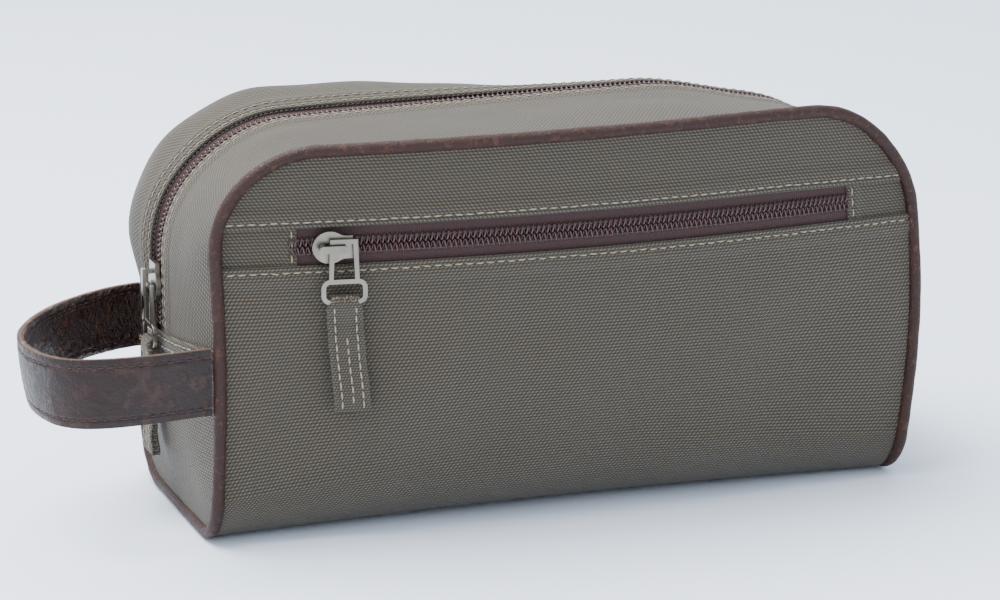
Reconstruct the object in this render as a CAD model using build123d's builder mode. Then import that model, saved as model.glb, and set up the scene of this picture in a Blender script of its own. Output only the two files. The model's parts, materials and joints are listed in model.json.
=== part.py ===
import os
from math import asin, cos, radians, sin, sqrt, tan

from build123d import *

# A zip-top toiletry bag. +X runs along its length, +Y to its back, +Z up, and the
# origin is the middle of its base, on the surface that it stands on. Millimetres.

# Body
body_length = 254.0        # between the piping seams of the two ends
body_depth = 100.0         # between the front and rear piping seams, at an end
seam_height = 137.5        # of the top piping seam above the base
corner_radius = 37.0       # of the front panel's two top corners
front_splay = 8.5          # degrees that the front panel turns away at each end
back_splay = 6.0           # the same, for the back panel
front_bottom_radius = 16.0
rear_bottom_radius = 28.0
end_bulge = 5.0            # how far an end stands out past its seams at the zip
seam_bulge = 0.3           # the same, at the seams themselves
zip_corner_radius = 34.0   # where the main zip turns from an end onto the top
fabric = 1.2               # thickness of the woven nylon with its backing
foam = 2.0
lining = 0.5
pocket_cloth = 0.3         # thickness of the pocket's lining
layer_gap = 0.1            # between two layers inside the bag
board_margin = 3.0         # from the lining to the ends of the base board
board_corner = 6.0
cross_seam_height = 65.0   # where an end panel meets the zip panels
seam_gap = 0.1             # between two edges that are sewn together

# Piping
piping_diameter = 4.5
piping_core_diameter = 2.6
cord_slack = 0.05          # between the piping's cord and its cover

# Zips, the same coil on both
zip_slot = 8.0             # between the folded edges of the main zip
zip_flat = 16.0            # half width of the flat stretch that carries the main zip
coil_width = 6.4
coil_gap = 1.6             # between the two coil halves, where a slider's post runs
coil_height = 1.8
tape = 0.6
tape_width = 15.0          # from the middle of the zip to a tape's outer edge
lining_slot = 14.0         # from the middle of the zip to the gusset lining's edge
slider_clearance = 0.3
coil_gap_end = 0.5         # between a coil's end and the cloth that it stops at
tape_end = 6.0             # how far a tape runs on past the end of its opening

# Pocket
pocket_left = -98.0
pocket_right = 102.0
pocket_middle_height = 104.0
pocket_opening = 13.0
pocket_tape_width = 13.5
pocket_bag_depth = 88.0    # how far the pocket's lining hangs below its zip
pocket_bag_hem = 6.0       # how far the pocket's lining reaches above its zip
pocket_bag_left = 4.0      # how far it reaches past the opening's left end
pocket_bag_right = 2.0

# Sliders and pulls
slider_length = 13.8
slider_width = 11.0
slider_tail_width = 7.8
plate = 1.7
back_plate = 1.1
post = 1.0                 # thickness of the post between the plates
post_length = 4.0
back_plate_margin = 1.0    # how far the back plate stays inside the front plate's outline
back_plate_corner = 2.0
bridge_length = 9.8
bridge_width = 2.5
bridge_bar = 1.2
bridge_leg = 1.4
tunnel = 2.6
pull_slack = 0.2           # between a pull and its bridge
pocket_slider_x = -86.7
main_slider_z = 82.8
pull_wire = 1.6
window_top = 6.2
window_bottom = 7.3
window_height = 12.1
ring_width = 15.7
ring_height = 5.4
ring_corner = 3.0
pull_hole_clearance = 0.25
tab_width = 12.4
tab_length = 39.0
tab_ply = 1.1
tab_taper = 8.0            # below the ring, where the two plies come together

# Handle
strap_width = 23.0
strap_height = 58.5        # of the middle of the strap above the base
leather = 1.2
padding = 1.6
padding_margin = 3.0       # from the strap's edges to its padding
swing_inset = 16.0         # from the end seam to the line that the strap flexes about
swing_gap = 0.3
swing_angle = 45.0

half = body_length / 2
side = body_depth / 2
far = 100.0                # past every surface
below = 5.0
bulge_height = 56.0        # above this an end stands out by its full bulge
pipe_r = piping_diameter / 2
tape_depth = fabric
slider_back_depth = tape_depth + tape + slider_clearance
pocket_lining_depth = slider_back_depth + back_plate + slider_clearance
foam_depth = pocket_lining_depth + pocket_cloth + 4 * layer_gap


def arc_of(splay):
    """Radius of a bulged panel's middle arc, and how far its tangent point lies from
    the end seam across the bag."""
    return (half - corner_radius) / sin(radians(splay)), corner_radius * tan(radians(splay))


front_radius, front_step = arc_of(front_splay)
back_radius, back_step = arc_of(back_splay)
front_centre = -(side + front_step) + front_radius * cos(radians(front_splay))
back_centre = side + back_step - back_radius * cos(radians(back_splay))
front_face = front_centre - front_radius
back_face = back_centre + back_radius


def outline(y, inset, bulge, radius):
    """Sketch of the bag's side-to-side outline in the plane at y."""
    low = half - inset
    wide = low + bulge
    top = seam_height - inset
    r = radius - inset
    lift = r * (1 - sqrt(0.5))
    with BuildSketch(Plane.XZ.offset(-y)) as face:
        with BuildLine():
            Line((-low, -below), (-wide, bulge_height))
            Line((-wide, bulge_height), (-wide, top - r))
            ThreePointArc((-wide, top - r), (-wide + lift, top - lift), (-wide + r, top))
            Line((-wide + r, top), (wide - r, top))
            ThreePointArc((wide - r, top), (wide - lift, top - lift), (wide, top - r))
            Line((wide, top - r), (wide, bulge_height))
            Line((wide, bulge_height), (low, -below))
            Line((low, -below), (-low, -below))
        make_face()
    return face.sketch


def envelope(inset):
    """Everything inside the ends and the top, run far past the front and the back."""
    with BuildPart() as solid:
        for y in (-far, -side):
            add(outline(y, inset, seam_bulge, corner_radius))
        for y in (-zip_flat, zip_flat):
            add(outline(y, inset, end_bulge, zip_corner_radius))
        for y in (side, far):
            add(outline(y, inset, seam_bulge, corner_radius))
        loft(ruled=True)
    return solid.part


def edge_points(centre, radius, splay, sign, inset):
    """Outer end and tangent point, on the left, of a bulged panel's plan line."""
    r = radius - inset
    tangent = (-r * sin(radians(splay)), centre + sign * r * cos(radians(splay)))
    reach = half + far + tangent[0]
    outer = (-half - far, tangent[1] - sign * reach * tan(radians(splay)))
    return outer, tangent


def profile(inset):
    """Everything between the front and the back, above the base."""
    front_out, front_in = edge_points(front_centre, front_radius, front_splay, -1, inset)
    back_out, back_in = edge_points(back_centre, back_radius, back_splay, 1, inset)
    with BuildPart() as solid:
        with BuildSketch(Plane.XY.offset(inset)):
            with BuildLine():
                Line(front_out, front_in)
                ThreePointArc(front_in, (0, front_face + inset), (-front_in[0], front_in[1]))
                Line((-front_in[0], front_in[1]), (-front_out[0], front_out[1]))
                Line((-front_out[0], front_out[1]), (-back_out[0], back_out[1]))
                Line((-back_out[0], back_out[1]), (-back_in[0], back_in[1]))
                ThreePointArc((-back_in[0], back_in[1]), (0, back_face - inset), back_in)
                Line(back_in, back_out)
                Line(back_out, front_out)
            make_face()
        extrude(amount=seam_height + far)
        low = solid.edges().group_by(Axis.Z)[0].filter_by(Axis.Y, reverse=True).sort_by(Axis.Y)
        front_edges = [e for e in low if e.center().Y < 0]
        rear_edges = [e for e in low if e.center().Y > 0]
        fillet(front_edges, front_bottom_radius - inset)
        fillet(rear_edges, rear_bottom_radius - inset)
    return solid.part


def block(x, y, z):
    """A box between two values on each axis."""
    with BuildPart() as solid:
        with Locations(((x[0] + x[1]) / 2, (y[0] + y[1]) / 2, (z[0] + z[1]) / 2)):
            Box(x[1] - x[0], y[1] - y[0], z[1] - z[0])
    return solid.part


def seam_points(splay, sign, centre_face):
    """Points of one long seam: up an end, over a corner, along the top, and down."""
    turn = radians(splay)
    rho = corner_radius / cos(turn)
    start = seam_height - rho
    y_end = sign * side
    along, out = rho * cos(turn), sign * rho * sin(turn)
    lift = 1 - sqrt(0.5)
    foot = (half, y_end, start)
    middle = (half - along * lift, y_end + out * lift, start + rho * sqrt(0.5))
    top = (half - along, y_end + out, seam_height)
    return foot, middle, top, (0, centre_face, seam_height)


def mirrored(point):
    return (-point[0], point[1], point[2])


def seam_path():
    """The closed line of the piping: two long seams joined under the two ends."""
    front_foot, front_mid, front_top, front_crest = seam_points(front_splay, -1, front_face)
    rear_foot, rear_mid, rear_top, rear_crest = seam_points(back_splay, 1, back_face)
    low_front = front_bottom_radius
    low_rear = rear_bottom_radius
    cut = 1 - sqrt(0.5)
    base = pipe_r
    with BuildLine() as path:
        for flip in (lambda p: p, mirrored):
            Line(flip((half, -side, low_front)), flip(front_foot))
            ThreePointArc(flip(front_foot), flip(front_mid), flip(front_top))
            Line(flip((half, side, low_rear)), flip(rear_foot))
            ThreePointArc(flip(rear_foot), flip(rear_mid), flip(rear_top))
            r = low_front - base
            ThreePointArc(flip((half, -side, low_front)),
                          flip((half, -side + r * cut, low_front - r * sqrt(0.5))),
                          flip((half, -side + r, base)))
            r = low_rear - base
            ThreePointArc(flip((half, side, low_rear)),
                          flip((half, side - r * cut, low_rear - r * sqrt(0.5))),
                          flip((half, side - r, base)))
            Line(flip((half, -side + low_front - base, base)),
                 flip((half, side - low_rear + base, base)))
        ThreePointArc(front_top, front_crest, mirrored(front_top))
        ThreePointArc(rear_top, rear_crest, mirrored(rear_top))
    return path.wire()


def tube(radius, bore=0.0):
    """A round cord along the piping's line."""
    path = seam_path()
    with BuildPart() as solid:
        with BuildSketch(Plane(origin=path @ 0, z_dir=path % 0)):
            Circle(radius)
            if bore:
                Circle(bore, mode=Mode.SUBTRACT)
        sweep(path=path)
    return solid.part


parts = {}


def keep(name, part):
    part.label = name
    parts[name] = part


def largest(part):
    """The biggest solid, without the crumbs that a round cut leaves along an edge."""
    return part.solids().sort_by(SortBy.VOLUME)[-1]


# Shells, each a skin between two insets of the same hull
outside = envelope(0)
inside = envelope(fabric)
front_and_back = profile(0)
cord = tube(pipe_r)

with BuildPart() as gusset_shell:
    add(outside)
    add(front_and_back, mode=Mode.INTERSECT)
    add(inside, mode=Mode.SUBTRACT)
    add(cord, mode=Mode.SUBTRACT)

with BuildPart() as body_shell:
    add(envelope(fabric + seam_gap))
    add(front_and_back, mode=Mode.INTERSECT)
    add(profile(fabric), mode=Mode.SUBTRACT)
    add(cord, mode=Mode.SUBTRACT)

# Pocket opening: the front panel is cut into the body, an upper panel and two patches
pocket_low = pocket_middle_height - pocket_opening / 2
pocket_high = pocket_middle_height + pocket_opening / 2
front_zone = (-far, 0)
wide = (-half - far, half + far)

with BuildPart() as main_body_panel:
    add(body_shell.part)
    add(block(wide, front_zone, (pocket_low, seam_height + far)), mode=Mode.SUBTRACT)
keep("main_body_panel", main_body_panel.part)

with BuildPart() as front_upper_panel:
    add(body_shell.part)
    add(block(wide, front_zone, (pocket_high, seam_height + far)), mode=Mode.INTERSECT)
keep("front_upper_panel", front_upper_panel.part)

patch_height = (pocket_low + seam_gap, pocket_high - seam_gap)
for name, span in (("pocket_end_patch_left", (wide[0], pocket_left)),
                   ("pocket_end_patch_right", (pocket_right, wide[1]))):
    with BuildPart() as patch:
        add(body_shell.part)
        add(block(span, front_zone, patch_height), mode=Mode.INTERSECT)
    keep(name, patch.part)

# Gusset: two zip panels with a slot between them, and an end panel under each
across = (-far, far)
above_seam = (cross_seam_height + seam_gap, seam_height + far)
for name, span in (("gusset_front_panel", (-far, -zip_slot / 2)),
                   ("gusset_rear_panel", (zip_slot / 2, far))):
    with BuildPart() as panel:
        add(gusset_shell.part)
        add(block(wide, span, above_seam), mode=Mode.INTERSECT)
    keep(name, panel.part)
for name, span in (("end_panel_left", (wide[0], 0)), ("end_panel_right", (0, wide[1]))):
    with BuildPart() as panel:
        add(gusset_shell.part)
        add(block(span, across, (-below, cross_seam_height)), mode=Mode.INTERSECT)
    keep(name, largest(panel.part))

# Piping: a leather cover on a cord
keep("piping_cover", tube(pipe_r, piping_core_diameter / 2 + cord_slack))
keep("piping_core", tube(piping_core_diameter / 2))


def skin(outer, inner, span, height):
    """A strip of the gusset's curve between two insets."""
    with BuildPart() as solid:
        add(envelope(outer))
        add(envelope(inner), mode=Mode.SUBTRACT)
        add(block(wide, span, height), mode=Mode.INTERSECT)
    return solid.part


# Main zip: tapes sewn under the folded edges, and coils on the tapes
coil_depth = tape_depth - coil_height
coil_inner, coil_outer = coil_gap / 2, coil_width / 2
tape_height = (cross_seam_height - tape_end, seam_height + far)
coil_span_height = (cross_seam_height + coil_gap_end, seam_height + far)
for name, sign in (("front", -1), ("rear", 1)):
    tape_span = sorted((sign * coil_inner, sign * tape_width))
    coil_span = sorted((sign * coil_inner, sign * coil_outer))
    keep("main_zip_tape_" + name, skin(tape_depth, tape_depth + tape, tape_span, tape_height))
    keep("main_zip_coil_" + name, skin(coil_depth, tape_depth, coil_span, coil_span_height))


def pocket_strip(outer, inner, span, height):
    """A strip that follows the front panel's middle arc between two insets."""
    with BuildPart() as solid:
        with BuildSketch(Plane.XY.offset(height[0])):
            with Locations((0, front_centre)):
                Circle(front_radius - outer)
                Circle(front_radius - inner, mode=Mode.SUBTRACT)
        extrude(amount=height[1] - height[0])
        add(block(span, front_zone, height), mode=Mode.INTERSECT)
    return solid.part


pocket_tape_span = (pocket_left - tape_end, pocket_right + tape_end)
pocket_coil_span = (pocket_left + coil_gap_end, pocket_right - coil_gap_end)
for name, sign in (("upper", 1), ("lower", -1)):
    middle = pocket_middle_height
    rows = sorted((middle + sign * coil_inner, middle + sign * pocket_tape_width))
    turns = sorted((middle + sign * coil_inner, middle + sign * coil_outer))
    keep("pocket_zip_tape_" + name,
         pocket_strip(tape_depth, tape_depth + tape, pocket_tape_span, rows))
    keep("pocket_zip_coil_" + name,
         pocket_strip(coil_depth, tape_depth, pocket_coil_span, turns))


# Inside: foam behind the front and the back, a board on the base, the linings, and the
# pocket's own lining, which hangs behind its zip
foam_inner = foam_depth + foam
with BuildPart() as foam_shell:
    add(envelope(foam_inner))
    add(profile(foam_depth), mode=Mode.INTERSECT)
    add(profile(foam_inner), mode=Mode.SUBTRACT)

foam_low = max(front_bottom_radius, rear_bottom_radius)
foam_high = (foam_low, seam_height + far)
for name, span in (("front_foam", front_zone), ("back_foam", (0, far))):
    with BuildPart() as sheet:
        add(foam_shell.part)
        add(block(wide, span, foam_high), mode=Mode.INTERSECT)
    keep(name, sheet.part)

board_length = body_length - 2 * (foam_inner + board_margin)
board_front, board_rear = -side + front_bottom_radius, side - rear_bottom_radius
with BuildPart() as base_board:
    with BuildSketch(Plane.XY.offset(fabric + layer_gap)):
        with Locations((0, (board_front + board_rear) / 2)):
            RectangleRounded(board_length, board_rear - board_front, board_corner)
    extrude(amount=foam)
keep("base_board", base_board.part)

lining_outer = foam_inner + layer_gap
lining_inner = lining_outer + lining
with BuildPart() as body_lining:
    add(envelope(lining_inner))
    add(profile(lining_outer), mode=Mode.INTERSECT)
    add(profile(lining_inner), mode=Mode.SUBTRACT)
keep("body_lining", body_lining.part)

with BuildPart() as gusset_lining:
    add(envelope(lining_outer))
    add(profile(lining_outer), mode=Mode.INTERSECT)
    add(envelope(lining_inner), mode=Mode.SUBTRACT)
    add(block(wide, (-lining_slot, lining_slot), above_seam), mode=Mode.SUBTRACT)
keep("gusset_lining", gusset_lining.part)

keep("pocket_lining", pocket_strip(pocket_lining_depth, pocket_lining_depth + pocket_cloth,
                                   (pocket_left - pocket_bag_left, pocket_right + pocket_bag_right),
                                   (pocket_high + pocket_bag_hem - pocket_bag_depth,
                                    pocket_high + pocket_bag_hem)))


bridge_foot = bridge_length / 2 - bridge_leg
tunnel_end = bridge_foot - bridge_leg / 2


def slider_body(plane):
    """A slider whose nose points along the plane's x, with its outside along z. Two
    plates hold the coils between them, a thin post joins them at the nose, and a bridge
    on the front plate leaves a tunnel for the pull."""
    nose, tail = slider_length / 2, -slider_length / 2
    wide_y, tail_y = slider_width / 2, slider_tail_width / 2
    face_low = -coil_depth + slider_clearance
    face_top = face_low + plate
    bar_low = face_top + tunnel
    back_top = -slider_back_depth
    with BuildPart() as solid:
        with BuildSketch(plane.offset(face_low)):
            with BuildLine():
                Line((tail, -tail_y), (tail, tail_y))
                Spline((tail, tail_y), (tail / 2, tail_y + 0.2), (0.6, wide_y),
                       tangents=((1, 0), (1, 0)))
                ThreePointArc((0.6, wide_y), (nose - 1.3, wide_y * 0.6), (nose, 0))
                ThreePointArc((nose, 0), (nose - 1.3, -wide_y * 0.6), (0.6, -wide_y))
                Spline((0.6, -wide_y), (tail / 2, -tail_y - 0.2), (tail, -tail_y),
                       tangents=((-1, 0), (-1, 0)))
            make_face()
        extrude(amount=plate)
        with BuildSketch(plane.offset(back_top)):
            RectangleRounded(slider_length - 2 * back_plate_margin,
                             slider_width - 2 * back_plate_margin, back_plate_corner)
        extrude(amount=-back_plate)
        with BuildSketch(plane.offset(back_top)):
            with Locations((nose - post_length, 0)):
                Rectangle(post_length, post)
        extrude(amount=face_low - back_top)
        with BuildSketch(plane.offset(bar_low)):
            SlotOverall(bridge_length, bridge_width)
        extrude(amount=bridge_bar)
        with BuildSketch(plane.offset(face_top)):
            with Locations((bridge_foot, 0), (-bridge_foot, 0)):
                Rectangle(bridge_leg, bridge_width - 0.5)
        extrude(amount=tunnel)
    return solid.part


tunnel_middle = -coil_depth + slider_clearance + plate + tunnel / 2


def zip_pull(plane):
    """A flat wire pull in the plane, hanging along its -y from the middle of its top bar,
    which is the origin: a window over the bridge, a crossbar, and a wide ring."""
    w = pull_wire
    cross = -window_height - w
    low = cross - ring_height - w
    top_half, low_half = window_top / 2 + w, window_bottom / 2 + w
    with BuildPart() as solid:
        with BuildSketch(plane.offset(-w / 2)):
            with BuildLine():
                Polyline((-top_half, w / 2), (top_half, w / 2), (low_half, cross - w / 2),
                         (-low_half, cross - w / 2), close=True)
            make_face()
            with Locations((0, (cross + low) / 2)):
                RectangleRounded(ring_width, ring_height + 2 * w, ring_corner)
            with BuildLine():
                Polyline((-window_top / 2, -w / 2), (window_top / 2, -w / 2),
                         (window_bottom / 2, cross + w / 2), (-window_bottom / 2, cross + w / 2),
                         close=True)
            make_face(mode=Mode.SUBTRACT)
            with Locations((0, (cross + low) / 2)):
                RectangleRounded(ring_width - 2 * w, ring_height, ring_corner - w, mode=Mode.SUBTRACT)
        extrude(amount=w)
    return solid.part


ring_bar = window_height + ring_height + 2 * pull_wire   # from the top bar to the ring's bar
tab_eye = pull_wire * sqrt(0.5) + pull_hole_clearance
tab_outer = tab_eye + tab_ply
eye_width = ring_width - 2 * ring_corner - 2 * pull_slack
tab_shoulder = tab_eye + 0.3


def pull_tab(plane):
    """A doubled fabric tab round the ring's lower bar, which is the plane's origin. The
    plane's y points up, and its z out of the face. The section is drawn side on, first
    the narrow eye in the ring and then the full width below it."""
    with BuildPart() as solid:
        for width, top in ((eye_width, None), (tab_width, -tab_shoulder)):
            side_on = Plane(plane.origin - plane.x_dir * (width / 2),
                            x_dir=plane.z_dir * -1, z_dir=plane.x_dir)
            with BuildSketch(side_on):
                if top is None:
                    Circle(tab_outer)
                with BuildLine():
                    Polyline((-tab_outer, top or 0), (tab_outer, top or 0), (tab_ply, -tab_taper),
                             (tab_ply, -tab_length), (-tab_ply, -tab_length),
                             (-tab_ply, -tab_taper), close=True)
                make_face()
                Circle(tab_eye, mode=Mode.SUBTRACT)
            extrude(amount=width)
    return solid.part


# Pocket slider: its nose points at the left end, and the pull's leg runs in its tunnel
pocket_turn = asin(-pocket_slider_x / front_radius)
pocket_out = Vector(-sin(pocket_turn), -cos(pocket_turn), 0)
pocket_along = Vector(cos(pocket_turn), -sin(pocket_turn), 0)
pocket_origin = Vector(0, front_centre, pocket_middle_height) + pocket_out * front_radius
pocket_slider_plane = Plane(pocket_origin, x_dir=pocket_along * -1, z_dir=pocket_out)
keep("pocket_slider_body", slider_body(pocket_slider_plane))

leg_offset = window_top / 2 + pull_wire / 2
pull_side = leg_offset - 0.3
pocket_top_bar = (pocket_origin + pocket_out * tunnel_middle + pocket_along * pull_side
                  + Vector(0, 0, bridge_width / 2 + pull_wire / 2 + pull_slack))
pocket_pull_plane = Plane(pocket_top_bar, x_dir=pocket_along, z_dir=pocket_out)
keep("pocket_slider_pull", zip_pull(pocket_pull_plane))
pocket_ring = pocket_top_bar - Vector(0, 0, ring_bar)
keep("pocket_pull_tab", pull_tab(Plane(pocket_ring, x_dir=pocket_along, z_dir=pocket_out)))

# Main slider: its nose points down the left end, and the pull's top bar runs in its tunnel
main_origin = Vector(-half - end_bulge, 0, main_slider_z)
main_out = Vector(-1, 0, 0)
main_slider_plane = Plane(main_origin, x_dir=(0, 0, -1), z_dir=main_out)
keep("main_slider_body", slider_body(main_slider_plane))
main_top_bar = main_origin + main_out * tunnel_middle - Vector(
    0, 0, tunnel_end - pull_wire * sqrt(0.5) - pull_slack)
keep("main_slider_pull", zip_pull(Plane(main_top_bar, x_dir=(0, -1, 0), z_dir=main_out)))
main_ring = main_top_bar - Vector(0, 0, ring_bar)
keep("main_pull_tab", pull_tab(Plane(main_ring, x_dir=(0, -1, 0), z_dir=main_out)))

# Handle: a padded strap in a loop, lying on its edge, with both ends in the end seams
swing_x = -half - swing_inset
strap_thickness = 2 * leather + padding
root_y = side - strap_thickness / 2


def strap_line():
    """The strap's middle line seen from above, from the front seam round to the rear."""
    seam_x = -half - pipe_r - 0.2
    with BuildLine() as line:
        FilletPolyline((seam_x, -root_y), (-half - 60, -root_y - 4), (-half - 56, 0),
                       (-half - 26, 36), (seam_x, root_y), radius=(19, 26, 24))
    return line


def strap_band(thickness, height):
    """A strip of that thickness along the strap's middle line."""
    with BuildPart() as solid:
        with BuildSketch(Plane.XY.offset(strap_height - height / 2)):
            add(strap_line().line)
            trace(line_width=thickness)
        extrude(amount=height)
    return solid.part


def flex_zone(radius, turn=0.0):
    """The cylinder about the flex line, with the strap's strip turned up by an angle."""
    with BuildPart() as solid:
        with BuildSketch(Plane.XZ.offset(far)):
            with Locations((swing_x, strap_height)):
                Circle(radius)
                with Locations(Rotation(0, 0, turn)):
                    Rectangle(far, 2 * radius, align=(Align.MAX, Align.CENTER))
        extrude(amount=-2 * far)
    return solid.part


band = strap_band(strap_thickness, strap_width)
core = strap_band(padding, strap_width - 2 * padding_margin)
moving_zone = flex_zone(strap_width / 2)
with BuildPart() as loop_area:
    with BuildSketch(Plane.XY.offset(strap_height - strap_width)):
        with BuildLine():
            add(strap_line().line)
            Line((-half - pipe_r - 0.2, root_y), (-half - pipe_r - 0.2, -root_y))
        make_face()
    extrude(amount=2 * strap_width)

for name, mode in (("handle_outer_leather", Mode.SUBTRACT), ("handle_inner_leather", Mode.INTERSECT)):
    with BuildPart() as layer:
        add(band)
        add(core, mode=Mode.SUBTRACT)
        add(loop_area.part, mode=mode)
        add(moving_zone, mode=Mode.INTERSECT)
    keep(name, largest(layer.part))

with BuildPart() as handle_padding:
    add(core)
    add(moving_zone, mode=Mode.INTERSECT)
keep("handle_padding", handle_padding.part)

with BuildPart() as handle_roots:
    add(band)
    add(block((swing_x, 0), across, (0, seam_height)), mode=Mode.INTERSECT)
    for turn in (-swing_angle, 0, swing_angle):
        add(flex_zone(strap_width / 2 + swing_gap, turn), mode=Mode.SUBTRACT)
keep("handle_roots", handle_roots.part)

os.makedirs("parts", exist_ok=True)
for name, part in parts.items():
    export_step(part, f"parts/{name}.step")
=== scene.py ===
import json
from math import cos, pi, radians, sin, sqrt, tan

import bmesh
import bpy
import numpy as np
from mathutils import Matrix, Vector


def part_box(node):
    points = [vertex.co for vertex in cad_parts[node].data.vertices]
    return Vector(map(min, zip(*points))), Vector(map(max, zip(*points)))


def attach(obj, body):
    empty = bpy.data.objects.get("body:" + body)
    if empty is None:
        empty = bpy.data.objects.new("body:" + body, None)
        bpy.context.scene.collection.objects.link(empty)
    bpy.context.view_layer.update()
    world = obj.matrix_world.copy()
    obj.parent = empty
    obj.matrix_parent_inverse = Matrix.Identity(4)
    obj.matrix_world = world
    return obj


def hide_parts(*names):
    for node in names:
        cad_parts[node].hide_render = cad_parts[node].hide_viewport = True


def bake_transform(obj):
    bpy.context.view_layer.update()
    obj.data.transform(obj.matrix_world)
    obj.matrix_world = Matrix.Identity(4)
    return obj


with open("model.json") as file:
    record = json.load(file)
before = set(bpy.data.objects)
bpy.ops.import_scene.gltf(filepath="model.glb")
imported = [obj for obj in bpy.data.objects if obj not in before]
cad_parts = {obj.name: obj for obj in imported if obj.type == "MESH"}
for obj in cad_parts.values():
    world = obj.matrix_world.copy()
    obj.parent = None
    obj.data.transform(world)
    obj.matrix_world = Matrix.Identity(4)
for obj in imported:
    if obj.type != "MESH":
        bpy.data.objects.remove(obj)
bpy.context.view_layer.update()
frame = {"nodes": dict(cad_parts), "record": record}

mm = 0.001
bagMiddle = np.array([0, 0, 60])    # a point well inside the bag, in millimetres


def boxOf(node):
    # lowest and highest corner of a CAD node, in millimetres
    low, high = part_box(node)
    return np.array(low) / mm, np.array(high) / mm


def smooth(t):
    # 0 below 0, 1 above 1, and an S-shaped rise between
    t = np.clip(t, 0, 1)
    return t * t * (3 - 2 * t)


def ripple(a, b, seed, length, waves=7):
    # soft unevenness about -1 to 1: a sum of plane waves in seeded directions, near one wavelength
    rng = np.random.default_rng(seed)
    total = np.zeros(np.broadcast(a, b).shape)
    for _ in range(waves):
        turn, phase, scale = rng.uniform(0, 2 * pi), rng.uniform(0, 2 * pi), rng.uniform(0.6, 1.7)
        total = total + np.sin((a * cos(turn) + b * sin(turn)) * 2 * pi * scale / length + phase)
    return total / sqrt(waves)


# the bag's own sizes, in millimetres
print("bag: sizes from the frame")
bag = dict(pipeRadius=2.25, cornerRadius=37, zipCornerRadius=46, endBulge=5, frontSplay=8.5,
           backSplay=6, frontFoot=16, rearFoot=28, middleFoot=8, halfDepth=50,
           seamSwell=6.0, seamPull=2.5, rearDropLeft=10.0, rearDropRight=13.0, crown=2.6, arch=0.8,
           rearPuff=6.0, fullness=2.3, liningDepth=3.4,
           cornerSag=7.0, frontTuck=0.7, rearTuck=0.6, underlap=7.0)

pipeHigh = boxOf("piping_cover")[1]
halfLength = pipeHigh[0] - bag["pipeRadius"]
seamTop = pipeHigh[2] - bag["pipeRadius"]
halfDepth = bag["halfDepth"]
crossSeam = boxOf("end_panel_left")[1][2]
patchLeft, patchRight = boxOf("pocket_end_patch_left"), boxOf("pocket_end_patch_right")
openingLeft, openingRight = patchLeft[1][0], patchRight[0][0]
openingLow, openingHigh = patchLeft[0][2], patchLeft[1][2]
pocketMiddle = (openingLow + openingHigh) / 2
gussetFoot = crossSeam - bag["underlap"]    # the zip panels run on under the end panels


def planLine(x, splay, depth=halfDepth):
    # how far a long side stands out: an arc in the middle that runs on in straight lines to the ends
    turn = radians(splay)
    flat = halfLength - bag["cornerRadius"]
    radius = flat / sin(turn)
    step = bag["cornerRadius"] * tan(turn)
    centre = depth + step - radius * cos(turn)
    across = np.clip(np.abs(x), 0, flat)
    return centre + np.sqrt(radius ** 2 - across ** 2) - np.clip(np.abs(x) - flat, 0, None) * tan(turn)


def frontLine(x):
    return planLine(x, bag["frontSplay"])


def backLine(x):
    return planLine(x, bag["backSplay"])


def seamHeight(x, radius=bag["cornerRadius"]):
    # height of a long side's top edge: level, then a quarter circle down to each end
    over = np.clip(np.abs(x) - (halfLength - radius), 0, radius)
    return seamTop - radius + np.sqrt(np.clip(radius ** 2 - over ** 2, 0, None))


def settle(points):
    # the soft bag under its own weight: the right seam swells, the left seam draws in, the
    # rear of the top sags, the front seam rises to the right, and the base arches a little
    x, y, z = points[..., 0], points[..., 1], points[..., 2]
    side = np.clip(np.abs(y) / halfDepth, 0, 1) ** 2
    rise = np.sin(pi * np.clip(z / 128, 0, 1))
    newX = x + bag["seamSwell"] * smooth((x - 70) / 55) * rise * (0.45 + 0.55 * side)
    newX = newX + bag["seamPull"] * smooth((-x - 95) / 30) * side * rise
    drop = bag["rearDropLeft"] + (bag["rearDropRight"] - bag["rearDropLeft"]) * smooth((x + 70) / 120)
    start = 20 - 17 * smooth((x + 70) / 120)
    newZ = z - drop * smooth((y - start) / (60 - start)) * smooth((z - 60) / 70)
    newZ = newZ + (1.3 * x / halfLength) * smooth((z - 106) / 25)
    middle = 1 - np.clip(np.abs(y) / 58, 0, 1) ** 2
    newZ = newZ - bag["cornerSag"] * smooth((x - 45) / 50) * smooth((z - 95) / 30) * middle
    base = 1 - smooth(z / 45)
    newZ = newZ + bag["arch"] * np.clip(1 - (x / 112) ** 2, 0, 1) * base
    return np.stack([newX, y, newZ], -1)


def footInset(z, foot):
    # how far a rounded foot of that radius draws a face in at height z
    low = np.clip(foot - z, 0, foot)
    return foot - np.sqrt(np.clip(foot ** 2 - low ** 2, 0, None))


def frontFoot(x):
    return bag["frontFoot"] + bag["middleFoot"] * (frontLine(x) - halfDepth) / (frontLine(0) - halfDepth)


def frontReach(x, z):
    # how far the front stands out: bulged above, drawn back towards the base, with a foot
    tuck = 1 - bag["frontTuck"] * smooth((66 - z) / 66)
    return halfDepth + (frontLine(x) - halfDepth) * tuck - footInset(z, frontFoot(x))


def rearReach(x, z):
    tuck = 1 - bag["rearTuck"] * smooth((60 - z) / 60)
    return halfDepth + (backLine(x) - halfDepth) * tuck - footInset(z, bag["rearFoot"])


def frontFace(x, z, out=0.0):
    # the front, out millimetres proud, with slow ripples that fade out round the pocket's zip
    free = smooth((84 - z) / 20) * smooth((halfLength - np.abs(x)) / 12) * smooth(z / 25)
    y = -frontReach(x, z) - 0.7 * ripple(x, z, 4, 95) * free
    return np.stack([x + 0 * z, y - out, z + 0 * x], -1)


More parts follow.
